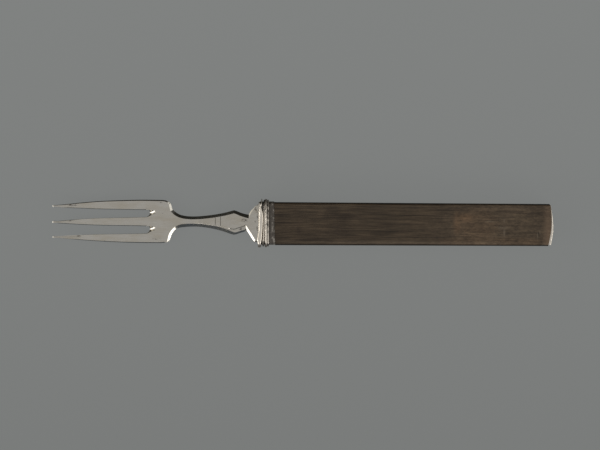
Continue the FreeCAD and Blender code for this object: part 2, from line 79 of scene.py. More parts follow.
def smooth_line(points, step=0.3, count=None):
    """Cubic Hermite curve through the points, one sample every step or count runs in all. The
    slope at each point is the mean of the runs on both sides, weighted to the nearer one."""
    points = np.array(points, dtype=float)
    runs = np.hypot(*np.diff(points, axis=0).T)
    reach = np.concatenate([[0.0], np.cumsum(runs)])
    chords = np.diff(points, axis=0) / runs[:, None]
    slopes = np.vstack([chords[:1], chords])
    before, after = runs[:-1, None], runs[1:, None]
    slopes[1:-1] = (chords[:-1] * after + chords[1:] * before) / (before + after)
    slopes[-1] = chords[-1]
    count = count or max(int(round(reach[-1] / step)), 2)
    where = np.linspace(0.0, reach[-1], count + 1)
    piece = np.clip(np.searchsorted(reach, where, side="right") - 1, 0, len(runs) - 1)
    part = ((where - reach[piece]) / runs[piece])[:, None]
    length = runs[piece][:, None]
    return ((2 * part ** 3 - 3 * part ** 2 + 1) * points[piece]
            + (part ** 3 - 2 * part ** 2 + part) * length * slopes[piece]
            + (3 * part ** 2 - 2 * part ** 3) * points[piece + 1]
            + (part ** 3 - part ** 2) * length * slopes[piece + 1])


def follow(where, table):
    """Straight-line reading of a table of (place, value) pairs."""
    places, values = np.array(table, dtype=float).T
    return np.interp(where, places, values)


def grid_quads(rows, columns, rows_close=False, columns_close=False):
    """Quads that join neighbouring points of a grid held row after row."""
    row = np.arange(rows if rows_close else rows - 1)
    column = np.arange(columns if columns_close else columns - 1)
    row, column = np.meshgrid(row, column, indexing="ij")
    next_row = (row + 1) % rows
    next_column = (column + 1) % columns
    return np.stack([row * columns + column, next_row * columns + column,
                     next_row * columns + next_column, row * columns + next_column],
                    axis=-1).reshape(-1, 4)


def pole_fan(pole, ring):
    """Triangles from one pole point to a closed ring of points."""
    ring = np.asarray(ring)
    return np.stack([np.full(len(ring), pole), ring, np.roll(ring, -1)], axis=-1)


def capped(rows, first_pole, last_pole):
    """Points, quads and triangles of a tube: closed rows of points, and a pole at each end."""
    rows = np.asarray(rows)
    count, around = rows.shape[:2]
    total = count * around
    points = np.vstack([rows.reshape(-1, 3), [first_pole], [last_pole]])
    fans = np.vstack([pole_fan(total, np.arange(around))[:, ::-1],
                      pole_fan(total + 1, np.arange(total - around, total))])
    return points, grid_quads(count, around, columns_close=True), fans


def make_piece(name, node, points, quads, triangles, finish, crisp_above=30.0, marks=None):
    """A closed mesh piece in millimetres that rides with the fork, stands for its CAD node, which
    it hides, and takes the finish it is given. Points that meet are welded, its faces are turned
    outwards, and edges sharper than crisp_above degrees stay crisp. marks are values held at the
    points."""
    mesh = bpy.data.meshes.new(name)
    mesh.from_pydata((np.asarray(points, dtype=float) * MM).tolist(), [],
                     np.asarray(triangles).tolist() + np.asarray(quads).tolist())
    for title, values in (marks or {}).items():
        layer = mesh.attributes.new(title, "FLOAT", "POINT")
        layer.data.foreach_set("value", np.asarray(values, dtype=np.float32))
    body = bmesh.new()
    body.from_mesh(mesh)
    bmesh.ops.remove_doubles(body, verts=body.verts, dist=WELD)
    bmesh.ops.dissolve_degenerate(body, edges=body.edges, dist=WELD)
    bmesh.ops.recalc_face_normals(body, faces=body.faces)
    body.to_mesh(mesh)
    body.free()
    mesh.polygons.foreach_set("use_smooth", np.ones(len(mesh.polygons), dtype=bool))
    mesh.set_sharp_from_angle(angle=math.radians(crisp_above))
    mesh.update()
    piece = bpy.data.objects.new(name, mesh)
    bpy.context.scene.collection.objects.link(piece)
    piece.data.materials.append(finish)
    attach(piece, "root")
    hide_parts(node)


# ------------------------------------------------------------------ materials

def srgb(code):
    """Linear colour for an sRGB hex code."""
    parts = [int(code[place:place + 2], 16) / 255 for place in (0, 2, 4)]
    return tuple(part / 12.92 if part <= 0.04045 else ((part + 0.055) / 1.055) ** 2.4
                 for part in parts) + (1.0,)


def add_node(tree, kind, *feed, out=None, stops=(), ease=False, **settings):
    """Adds a node and gives the output called out, or the first one in use. feed fills the
    inputs in use, in order. A setting is a property or, failing that, an input. A socket is
    linked to its input, and anything else becomes the input's value. stops are the (place,
    grey or colour) pairs of a colour ramp."""
    made = tree.nodes.new("ShaderNode" + kind)
    for key in [key for key in settings if hasattr(made, key)]:
        setattr(made, key, settings.pop(key))
    pairs = list(zip([socket for socket in made.inputs if socket.enabled], feed))
    pairs += [(made.inputs[key.replace("_", " ")], value) for key, value in settings.items()]
    for socket, value in pairs:
        if isinstance(value, bpy.types.NodeSocket):
            tree.links.new(value, socket)
        else:
            socket.default_value = value
    if stops:
        made.color_ramp.interpolation = "EASE" if ease else "LINEAR"
        for _ in stops[2:]:
            made.color_ramp.elements.new(0.5)
        for element, (place, shade) in zip(made.color_ramp.elements, stops):
            element.position = place
            element.color = shade if isinstance(shade, tuple) else (shade, shade, shade, 1.0)
    if out:
        return made.outputs[out]
    return next((socket for socket in made.outputs if socket.enabled), None)


def emptied(owner):
    """The node adder of a material or a world whose tree has been emptied."""
    owner.use_nodes = True
    owner.node_tree.nodes.clear()
    return partial(add_node, owner.node_tree)


def new_finish(name):
    """A material, its node adder, and Object coordinates in millimetres."""
    finish = bpy.data.materials.new(name)
    add = emptied(finish)
    return finish, add, add("Mapping", add("TexCoord", out="Object"), Scale=(1 / MM,) * 3)


def pattern(add, kind, place, sizes, shift=(0.0, 0.0, 0.0), **settings):
    """A texture whose unit is the given number of millimetres along each axis."""
    local = add("Mapping", place, Location=shift, Scale=tuple(1.0 / size for size in sizes))
    return add(kind, local, Scale=1.0, **settings)


def from_tips(along):
    """X in millimetres of the model for a distance from the tine tips."""
    return float(station(along)) / MM


def spots(add, place, centres, edge=1.0):
    """1 at the middle of each flattened round spot and 0 outside it. A centre is (distance
    from the tine tips, Y, half length, half width) in millimetres; the spots go right through
    in Z."""
    total = None
    for along, across, half_long, half_wide in centres:
        local = add("Mapping", place, Scale=(1.0 / half_long, 1.0 / half_wide, 0.0),
                    Location=(-from_tips(along) / half_long, -across / half_wide, 0.0))
        far = add("VectorMath", local, operation="LENGTH")
        near = add("Math", 1.0, far, operation="SUBTRACT", use_clamp=True)
        near = add("Math", near, edge, operation="MULTIPLY", use_clamp=True)
        total = near if total is None else add("Math", total, near, operation="MAXIMUM")
    return total


def stain(add, colour, mask, share, shade):
    """The colour with a shade laid over it where the mask is, by up to the given share."""
    amount = add("Math", mask, share, operation="MULTIPLY")
    return add("Mix", amount, colour, srgb(shade), data_type="RGBA")


def weighed(add, first, share, second, other_share, operation="ADD"):
    """Two fields, each times its share, added or subtracted."""
    return add("Math", add("Math", first, share, operation="MULTIPLY"),
               add("Math", second, other_share, operation="MULTIPLY"), operation=operation)


def forged_steel():
    """Carbon steel, forged, filed and hand-polished, then worn: a soft grey mirror with fine
    lengthwise polishing lines, faint brown bloom and a few black rust pits."""
    finish, add, place = new_finish("hand_polished_carbon_steel")
    # Polishing lines are 0.02 mm wide in life; 0.15 mm is the finest that shows here.
    lines = pattern(add, "TexNoise", place, (9.0, 0.15, 0.3), Detail=3.0)
    bloom = pattern(add, "TexNoise", place, (7.0, 3.0, 3.0), Detail=4.0, Roughness=0.6)
    grime = pattern(add, "TexNoise", place, (1.1, 0.6, 0.8), Detail=5.0, Roughness=0.7)
    # Rust pits, 0.3 to 0.8 mm, in the places where damp gathers.
    marks = spots(add, place, (
        (8.2, 7.0, 2.6, 0.55), (6.9, 0.55, 1.9, 0.4), (10.9, -5.6, 1.2, 0.35),
        (43.8, -6.3, 0.7, 0.5), (42.0, -6.8, 1.5, 0.35), (44.6, 8.2, 0.7, 0.3),
        (84.1, 2.9, 0.4, 2.4), (84.0, -2.4, 0.4, 1.6), (78.8, 1.1, 1.5, 1.0),
        (77.3, -2.4, 1.5, 0.7), (83.3, 5.4, 0.7, 1.5), (83.2, 0.9, 0.5, 0.8)), edge=1.6)
    grit = add("ValToRGB", grime, stops=((0.45, 0.0), (0.62, 1.0)))
    pitted = add("Math", marks, grit, operation="MULTIPLY")
    cells = pattern(add, "TexVoronoi", place, (3.2, 2.4, 2.4))
    freckles = add("ValToRGB", cells, stops=((0.03, 0.55), (0.075, 0.0)))
    rust = add("Math", pitted, freckles, operation="MAXIMUM")
    soil = add("Attribute", attribute_name="soil", out="Fac")
    soil = add("Math", soil, 0.9, operation="MULTIPLY")
    rust = add("Math", rust, soil, operation="MAXIMUM")
    bloomed = add("ValToRGB", bloom, stops=((0.35, 0.0), (0.7, 1.0)))
    clean = add("Mix", bloomed, srgb("CAC6BE"), srgb("C0B9AB"), data_type="RGBA")
    scored = add("ValToRGB", lines, stops=((0.3, 0.0), (0.75, 0.35)))
    lined = add("Mix", scored, clean, srgb("A9A59B"), data_type="RGBA")
    colour = add("Mix", rust, lined, srgb("2E241C"), data_type="RGBA")
    metal = add("Math", 1.0, add("Math", rust, 0.7, operation="MULTIPLY"), operation="SUBTRACT")
    rough = add("Math", weighed(add, lines, 0.14, rust, 0.4), 0.15, operation="ADD")
    height = add("Math", add("Math", lines, 0.6, operation="MULTIPLY"), rust,
                 operation="SUBTRACT")
    bump = add("Bump", Height=height, Strength=0.10, Distance=0.0001)
    add("OutputMaterial", add("BsdfPrincipled", Base_Color=colour, Metallic=metal,
                              Roughness=rough, Normal=bump))
    return finish


def worn_silver():
    """Sterling silver, drawn into reeds and soldered, then handled: warm and bright on the
    crests, brown-black sulphide tarnish in the grooves, fine scratches round the collar."""
    finish, add, place = new_finish("handled_sterling_silver")
    crest = add("Attribute", attribute_name="crest", out="Fac")
    # Scratches run round the collar, across the fork; drawn 0.2 mm wide so that they show.
    scratch = pattern(add, "TexNoise", place, (0.2, 5.0, 5.0), Detail=3.0)
    patch = pattern(add, "TexNoise", place, (1.3, 1.9, 1.9), Detail=6.0, Roughness=0.72)
    uneven = add("Math", add("Math", patch, 0.5, operation="SUBTRACT"), 1.05,
                 operation="MULTIPLY")
    uneven = add("Math", crest, uneven, operation="ADD")
    tarnish = add("ValToRGB", uneven, stops=((0.18, 1.0), (0.56, 0.0)), ease=True)
    bright = add("Mix", scratch, srgb("EFE7DA"), srgb("DDD3C5"), data_type="RGBA")
    dark = add("Mix", patch, srgb("3A332B"), srgb("736D66"), data_type="RGBA")
    colour = add("Mix", tarnish, bright, dark, data_type="RGBA")
    metal = add("Math", 1.0, add("Math", tarnish, 0.35, operation="MULTIPLY"),
                operation="SUBTRACT")
    rough = add("Math", weighed(add, tarnish, 0.22, scratch, 0.16), 0.14, operation="ADD")
    height = weighed(add, scratch, 0.4, patch, 0.9, "SUBTRACT")
    bump = add("Bump", Height=height, Strength=0.22, Distance=0.00012)
    add("OutputMaterial", add("BsdfPrincipled", Base_Color=colour, Metallic=metal,
                              Roughness=rough, Normal=bump))
    return finish


def dark_hardwood():
    """A dense dark tropical hardwood, planed, scraped and waxed: olive brown with fine lengthwise
    streaks, short pores, soft dark clouds, a redder patch, and scuffs near the butt. Its long
    edges are darkened almost to black with painted shade, and a strip along the -Y edge and the
    end before the butt are made paler with painted light."""
    finish, add, place = new_finish("waxed_dark_hardwood")
    # The grain sways by up to a millimetre over a couple of centimetres.
    bend = pattern(add, "TexNoise", place, (17.0, 6.0, 6.0), Detail=2.0)
    sway = add("CombineXYZ", Y=add("Math", bend, 1.1, operation="MULTIPLY"))
    grain = add("VectorMath", place, sway, operation="ADD")
    # Streaks: 0.4 mm apart and over a centimetre long, and broader ones 1.1 mm apart.
    fine = pattern(add, "TexNoise", grain, (13.0, 0.4, 0.4), Detail=2.0)
    broad = pattern(add, "TexNoise", grain, (24.0, 1.1, 1.1), Detail=3.0)
    streak = add("ValToRGB", weighed(add, fine, 0.74, broad, 0.26),
                 stops=((0.36, 0.0), (0.64, 1.0)))
    brown = add("Mix", streak, srgb("2D2318"), srgb("4F4232"), data_type="RGBA")
    # A redder patch, warmer parts, a paler strip along the -Y edge, and a rubbed stretch before
    # the butt, as spots with the sharpness of their edge, their strength and their colour. The
    # paler strip is painted light, where the rounded -Y edge faces the lamps.
    for centres, edge, share, shade in (
            (((168.6, 2.6, 5.6, 2.4), (165.6, 0.4, 2.2, 6.5)), 1.2, 0.36, "74563A"),
            (((174.0, -1.0, 9.6, 9.0), (181.0, -7.4, 30.0, 2.4)), 2.4, 0.14, "74563A"),
            # Painted light along the rounded -Y edge, which faces the lamps.
            (((146.0, -7.7, 64.0, 0.9),), 1.4, 0.3, "7A6B58"),
            (((184.0, -1.5, 34.0, 15.0),), 2.2, 0.15, "7C6A56")):
        brown = stain(add, brown, spots(add, place, centres, edge), share, shade)
    # Clouds 4 to 9 mm across.
    cloud = pattern(add, "TexNoise", place, (9.0, 4.2, 4.2), (1.3, 0.4, 0.0), Detail=2.0)
    clouds = add("ValToRGB", cloud, stops=((0.34, 0.82), (0.5, 1.0), (0.66, 1.12)))
    brown = add("Mix", 1.0, brown, clouds, data_type="RGBA", blend_type="MULTIPLY")
    # Flecks 1.3 mm long where the grain dips under the plane, mostly towards the butt.
    fleck = pattern(add, "TexNoise", grain, (1.3, 0.6, 0.6), (7.0, 3.0, 0.0), Detail=3.0,
                    Roughness=0.6)
    along = add("SeparateXYZ", place, out="X")
    lifted = add("MapRange", along, From_Min=from_tips(140.0), From_Max=from_tips(168.0),
                 To_Min=0.25, To_Max=0.8)
    flecks = add("ValToRGB", fleck, stops=((0.34, 0.66), (0.66, 1.34)))
    flecked = add("Mix", 1.0, brown, flecks, data_type="RGBA", blend_type="MULTIPLY")
    brown = add("Mix", lifted, brown, flecked, data_type="RGBA")
    # Pores: 0.1 mm wide in life, drawn 0.3 mm wide and 2 mm long.
    cells = pattern(add, "TexVoronoi", grain, (3.4, 0.4, 0.4))
    pore = add("ValToRGB", cells, stops=((0.08, 1.0), (0.30, 0.0)))
    brown = stain(add, brown, pore, 0.22, "171009")
    # Painted light: the last 4 mm before the silver strip, where the wood thins to the butt, are
    # made paler, most of all on the -Y side, which faces the lamps.
    butt = add("MapRange", along, From_Min=from_tips(200.3), From_Max=from_tips(202.6),
               To_Min=0.0, To_Max=0.42)
    lower = add("MapRange", add("SeparateXYZ", place, out="Y"), From_Min=-8.0, From_Max=8.0,
                To_Min=1.25, To_Max=0.6)
    brown = add("Mix", add("Math", butt, lower, operation="MULTIPLY"), brown, srgb("79624D"),
                data_type="RGBA")
    bruise = spots(add, place, (
        (186.3, -3.6, 1.2, 1.0), (186.0, -6.4, 1.2, 0.8), (190.0, -6.6, 1.2, 0.9),
        (189.7, -1.6, 1.5, 1.3), (187.0, 1.2, 1.3, 0.9), (199.0, -4.1, 0.4, 1.2),
        (128.5, 0.6, 4.6, 1.1), (101.0, -2.8, 1.4, 2.2), (115.0, 5.0, 4.5, 2.4),
        (120.0, 2.4, 4.5, 2.6), (112.0, 2.4, 2.6, 2.0), (119.0, -3.4, 8.0, 3.0)), edge=1.6)
    brown = stain(add, brown, bruise, 0.34, "1E160F")
    scuff = spots(add, place, (
        (184.4, -1.4, 3.2, 0.45), (184.9, -3.4, 0.6, 2.4), (179.0, 1.1, 2.8, 0.5),
        (184.8, 1.5, 0.4, 1.2), (198.5, -4.6, 0.35, 1.7), (199.4, -3.2, 0.3, 1.2)))
    brown = stain(add, brown, scuff, 0.28, "8F8271")
    # Painted shade: the long edges, rounded over to the sides, are darkened almost to black.
    brown = stain(add, brown, add("Attribute", attribute_name="arris", out="Fac"), 0.9,
                  "0F0B07")
    rough = add("Math", add("Math", fine, 0.2, operation="MULTIPLY"), 0.34, operation="ADD")
    rough = add("Math", rough, add("Math", scuff, 0.3, operation="MULTIPLY"), operation="ADD")
    height = add("Math", weighed(add, fine, 0.6, fleck, 0.6),
                 add("Math", pore, 0.6, operation="MULTIPLY"), operation="SUBTRACT")
    bump = add("Bump", Height=height, Strength=0.4, Distance=0.0001)
    add("OutputMaterial", add("BsdfPrincipled", Base_Color=brown, Roughness=rough, IOR=1.5,
                              Specular_IOR_Level=0.3, Normal=bump))
    return finish


def set_cement():
    """Cutler's cement, resin and brick dust cast hot: a matt red-brown solid with grit."""
    finish, add, place = new_finish("cast_cutlers_cement")
    grit = pattern(add, "TexNoise", place, (0.5, 0.5, 0.5), Detail=6.0)
    colour = add("Mix", grit, srgb("3A2319"), srgb("8A5A42"), data_type="RGBA")
    bump = add("Bump", Height=grit, Strength=0.5, Distance=0.0002)
    add("OutputMaterial", add("BsdfPrincipled", Base_Color=colour, Roughness=0.85,
                              Normal=bump))
    return finish


steel = forged_steel()
silver = worn_silver()
wood = dark_hardwood()
cement = set_cement()

# ------------------------------------------------------------------ steel fork

TINE_LENGTH = 39.0
HEAD_HEIGHT = 2.6
NECK_FROM = 54.2
FLARE_AT = 74.5
WAIST_AT = 79.6
BOLSTER_END = (collar_low[0] - tips_x) / MM
SLOT_MIDDLES = (3.72, -2.97)
ARRIS = 0.07
# Slopes of the bevels in degrees: the usual one, and those of the gullets and round the tips.
BEVEL_SLOPE = 38.0
GULLET_SLOPE = 26.0
TIP_SLOPE = 20.0
# How far from a corner the inset line is drawn to the mitre.
MITRE_REACH = 2.6
# Engraved lines, as (place along the fork, upper end, lower end); half width and depth.
ENGRAVED = ((66.85, 2.13, -0.5), (68.95, 2.55, -0.95))
ENGRAVED_HALF = 0.09
ENGRAVED_DEEP = 0.10


def mid_height(along):
    """Height of the steel's middle in millimetres. The tines dip and then turn up towards their
    tips, the head is level, and the neck climbs to the handle's axis as 3t^2 - 2t^3."""
    out = np.clip(1.0 - along / TINE_LENGTH, 0.0, 1.0)
    tine = -0.8 * 6.75 * out ** 2 * (1.0 - out) + 1.5 * out ** 3
    climb = np.interp(along, (NECK_FROM, FLARE_AT, WAIST_AT), (0.0, 0.82, 1.0))
    rise = (axis_z / MM - HEAD_HEIGHT) * climb ** 2 * (3.0 - 2.0 * climb)
    return HEAD_HEIGHT + tine + rise


def half_thick(along):
    """Half of the steel's thickness in millimetres, thin at the tips and thick at the bolster."""
    return follow(along, ((0.0, 0.06), (0.5, 0.34), (1.1, 0.48), (12.0, 0.8), (39.0, 1.2),
                          (54.2, 1.2), (60.0, 1.9), (74.5, 2.2), (79.6, 2.2), (84.5, 2.6)))


def tip_round(tip, upper, lower, blunt):
    """Half an ellipse round a tine's tip, from its upper side to its lower side."""
    angle = np.linspace(0.5 * math.pi, 1.5 * math.pi, 13)
    half = (upper - lower) / 2
    return np.stack([tip + blunt + blunt * np.cos(angle),
                     (upper + lower) / 2 + half * np.sin(angle)], axis=-1)


# Where a slot's lopsided end comes through the steel, from the side of the upper tine to that
# of the lower one, and where the round file that opened the slot left the top face: longer,
# and aslant. Both are given about the slot's middle.
SLOT_END = ((38.8, 1.44), (39.55, 1.36), (39.95, 0.9), (39.98, 0.1), (39.75, -0.5),
            (39.25, -1.1), (38.8, -1.46))
GULLET_EDGE = ((38.8, 1.52), (39.7, 1.44), (41.1, 1.38), (42.05, 1.0), (42.4, 0.4),
               (42.0, -0.05), (41.2, -0.4), (40.2, -0.9), (39.3, -1.35), (38.8, -1.6))


def slot_line(table, middle):
    """A smooth curve through a table that is given about a slot's middle."""
    return smooth_line(np.array(table) + (0.0, middle), count=24)


def steel_outline():
    """The outline seen from above, anticlockwise from the bolster's upper corner, as spans.
    Each span is its points, smoothed where they are a plain table, its bevel widths as (part of
    the span, width) or as the line that the bevel runs up to, and the bevel's slope in degrees
    where it isn't the usual one."""
    tips = ((0.0, 0.12), (1.0, 0.12))
    slot_a, slot_b = SLOT_MIDDLES
    spans = [
        (((84.5, 7.8), (83.9, 7.45), (82.4, 6.1), (81.3, 4.9), (80.8, 4.05), (80.5, 3.4)),
         ((0.0, 0.4), (1.0, 0.55))),
        (((80.5, 3.4), (78.8, 3.75), (77.1, 4.26), (75.5, 4.9), (74.47, 5.2)),
         ((0.0, 1.5), (0.5, 1.3), (1.0, 1.25))),
        (((74.47, 5.2), (73.0, 4.8), (71.4, 4.36), (68.9, 3.82), (66.5, 3.39), (63.2, 2.96),
          (59.9, 2.66), (56.7, 2.6), (54.2, 2.83), (51.8, 3.5), (50.8, 4.1), (49.7, 5.0),
          (49.14, 5.45)), ((0.0, 1.25), (0.3, 1.22), (0.94, 1.22), (1.0, 1.1))),
        (smooth_line(((49.14, 5.45), (48.8, 6.7), (48.35, 7.9), (47.7, 8.5), (46.8, 8.95),
                      (45.3, 9.25)), 0.2), ((0.0, 1.0), (0.5, 0.9), (0.7, 0.5), (1.0, 0.5))),
        (((45.3, 9.25), (36.0, 9.3), (27.8, 9.06), (19.6, 8.68), (11.5, 8.0), (5.3, 7.3),
          (2.2, 7.0), (1.4, 6.9), (0.5, 6.92)),
         ((0.0, 0.5), (0.55, 0.32), (0.8, 0.3), (0.93, 0.22), (1.0, 0.12))),
        (tip_round(0.0, 6.92, 6.2, 0.5), tips, TIP_SLOPE),
        (((0.5, 6.2), (1.4, 6.18), (3.3, 5.98), (5.3, 5.88), (11.5, 5.66), (19.6, 5.38),
          (27.8, 5.26), (36.0, 5.18), (38.8, 5.16)),
         ((0.0, 0.1), (0.1, 0.1), (0.16, 0.24), (1.0, 0.28))),
        (slot_line(SLOT_END, slot_a), slot_line(GULLET_EDGE, slot_a), GULLET_SLOPE),
        (((38.8, 2.26), (36.0, 2.15), (27.8, 1.94), (19.6, 1.7), (11.5, 1.25), (5.3, 0.72),
          (1.4, 0.4), (0.6, 0.48)), ((0.0, 0.1), (0.7, 0.06), (0.82, 0.16), (1.0, 0.12))),
        (tip_round(0.0, 0.48, -0.4, 0.6), tips, TIP_SLOPE),
        (((0.6, -0.4), (1.4, -0.38), (3.3, -0.56), (5.3, -0.66), (11.5, -1.0), (19.6, -1.28),
          (27.8, -1.37), (36.0, -1.45), (38.8, -1.53)),
         ((0.0, 0.1), (0.03, 0.14), (0.06, 0.26), (1.0, 0.28))),
        (slot_line(SLOT_END, slot_b), slot_line(GULLET_EDGE, slot_b), GULLET_SLOPE),
        (((38.8, -4.43), (36.0, -4.53), (27.8, -4.73), (19.6, -4.9), (12.2, -5.16)),
         ((0.0, 0.1), (1.0, 0.06))),
        # The lower tine's inner side is ground to a broad, nearly level facet.
        (((12.2, -5.16), (11.9, -5.18), (5.3, -5.57), (1.4, -5.76), (0.7, -5.7)),
         ((0.0, 0.06), (0.06, 0.8), (0.5, 0.6), (0.9, 0.3), (1.0, 0.12)), 3.5),
        (tip_round(0.1, -5.7, -6.56, 0.6), tips, TIP_SLOPE),
        (((0.7, -6.56), (1.4, -6.52), (5.3, -6.74), (11.5, -7.28), (19.6, -7.8), (27.8, -8.17),
          (36.0, -8.35), (42.0, -8.38), (45.2, -8.32), (46.85, -8.05), (47.6, -7.75),
          (48.2, -7.1)), ((0.0, 0.08), (0.12, 0.1), (0.2, 0.24), (0.8, 0.38), (1.0, 0.4))),
        (smooth_line(((48.2, -7.1), (48.6, -5.5), (49.0, -4.6), (49.5, -3.8), (50.1, -3.1),
                      (50.7, -2.6), (51.1, -2.4)), 0.2), ((0.0, 1.0), (0.5, 1.05), (1.0, 1.1))),
        (((51.1, -2.4), (52.4, -2.0), (54.2, -1.77), (59.9, -1.61), (63.2, -1.96), (66.5, -2.56),
          (68.9, -3.12), (71.4, -3.91), (73.0, -4.45), (74.4, -4.8)),
         ((0.0, 1.15), (0.1, 1.3), (0.6, 1.32), (0.75, 1.5), (0.87, 2.0), (1.0, 2.35))),
        (((74.4, -4.8), (75.5, -4.6), (77.1, -4.03), (78.8, -3.5), (79.7, -3.0)),
         ((0.0, 2.35), (0.4, 2.4), (1.0, 2.2))),
        (((79.7, -3.0), (81.15, -5.2), (82.5, -7.2), (82.9, -7.6), (83.4, -7.75), (84.5, -7.8)),
         ((0.0, 0.95), (0.7, 0.85), (0.8, 0.6), (1.0, 0.35))),
        (np.stack([np.full(38, BOLSTER_END), np.linspace(-7.8, 7.8, 40)[1:-1]], axis=-1),
         ((0.0, 0.0), (1.0, 0.0))),
    ]
    return [(points if isinstance(points, np.ndarray) else smooth_line(points), *rest)
            for points, *rest in spans]


def inset_line(points, cut):
    """The span's inset points, their distances, its inward normals, and whether the cut is a
    line to move on to. Plain widths move each point inwards along its normal."""
    step = np.gradient(points, axis=0)
    step /= np.hypot(step[:, 0], step[:, 1])[:, None]
    inward = np.stack([-step[:, 1], step[:, 0]], axis=-1)
    cut = np.asarray(cut)
    if len(cut) == len(points):
        return cut, np.hypot(*(cut - points).T), inward, True
    width = np.interp(np.linspace(0.0, 1.0, len(points)), cut[:, 0], cut[:, 1])
    return points + inward * width[:, None], width, inward, False


def steel_rings():
    """The outline and its inset line. Where two spans meet at a corner, the inset points near it
    are drawn to the mitre, which is where the two inset lines cross."""
    shapes = steel_outline()
    spans = [(shape[0],) + inset_line(shape[0], shape[1]) for shape in shapes]
    insets = [span[1] for span in spans]
    for place in range(len(spans) - 2):
        here, after = spans[place], spans[place + 1]
        first, second = here[3][-1], after[3][0]
        if first @ second > 0.999 or here[4] or after[4]:
            continue
        corner = here[0][-1]
        mitre = corner + np.linalg.solve(np.stack([first, second]),
                                         np.array([here[2][-1], after[2][0]]))
        for which, at in ((place, -1), (place + 1, 0)):
            away = np.hypot(*(spans[which][0] - corner).T)
            pull = np.clip(1.0 - away / MITRE_REACH, 0.0, 1.0)
            insets[which] = insets[which] + (mitre - insets[which][at]) * pull[:, None]
    for which in (0, len(spans) - 2):
        insets[which][:, 0] = np.minimum(insets[which][:, 0], BOLSTER_END)
    # The last span is a lone row of points, and the others share their end points.
    keep = [slice(None, -1)] * (len(spans) - 2) + [slice(None)] * 2
    outline = np.vstack([span[0][part] for span, part in zip(spans, keep)])
    inset = np.vstack([line[part] for line, part in zip(insets, keep)])
    width = np.concatenate([span[2][part] for span, part in zip(spans, keep)])
    gullet = np.concatenate([np.full(len(span[0][part]), span[4])
                             for span, part in zip(spans, keep)])
    slope = np.concatenate([
        np.full(len(shape[0][part]), shape[2] if len(shape) > 2 else BEVEL_SLOPE)
        for shape, part in zip(shapes, keep)])
    return outline, inset, width, gullet, np.tan(np.radians(slope))


def nearest_line(along):
    """Distance in millimetres to the nearer of the two engraved lines."""
    return np.min([np.abs(along - line[0]) for line in ENGRAVED], axis=0)


def fill_face(ring, extra_points, extra_edges):
    """Triangles inside a closed ring, made by constrained Delaunay triangulation, with any
    extra points and edges kept. Gives the new points and triangles that index ring first."""
    count = len(ring)
    points = np.vstack([ring, extra_points]) if len(extra_points) else ring
    edges = [(index, (index + 1) % count) for index in range(count)]
    edges += [(first + count, second + count) for first, second in extra_edges]
    result = geometry.delaunay_2d_cdt([Vector(point) for point in points.tolist()], edges,
                                      [list(range(count))], 1, 1e-7)
    new_points, faces, sources = result[0], result[2], result[3]
    remap = np.array([source[0] if source else -1 for source in sources])
    fresh = [place for place, source in enumerate(sources) if not source or source[0] >= count]
    extra = np.array([tuple(new_points[place]) for place in fresh]).reshape(-1, 2)
    remap[fresh] = count + np.arange(len(fresh))
    return extra, remap[np.array(faces)]


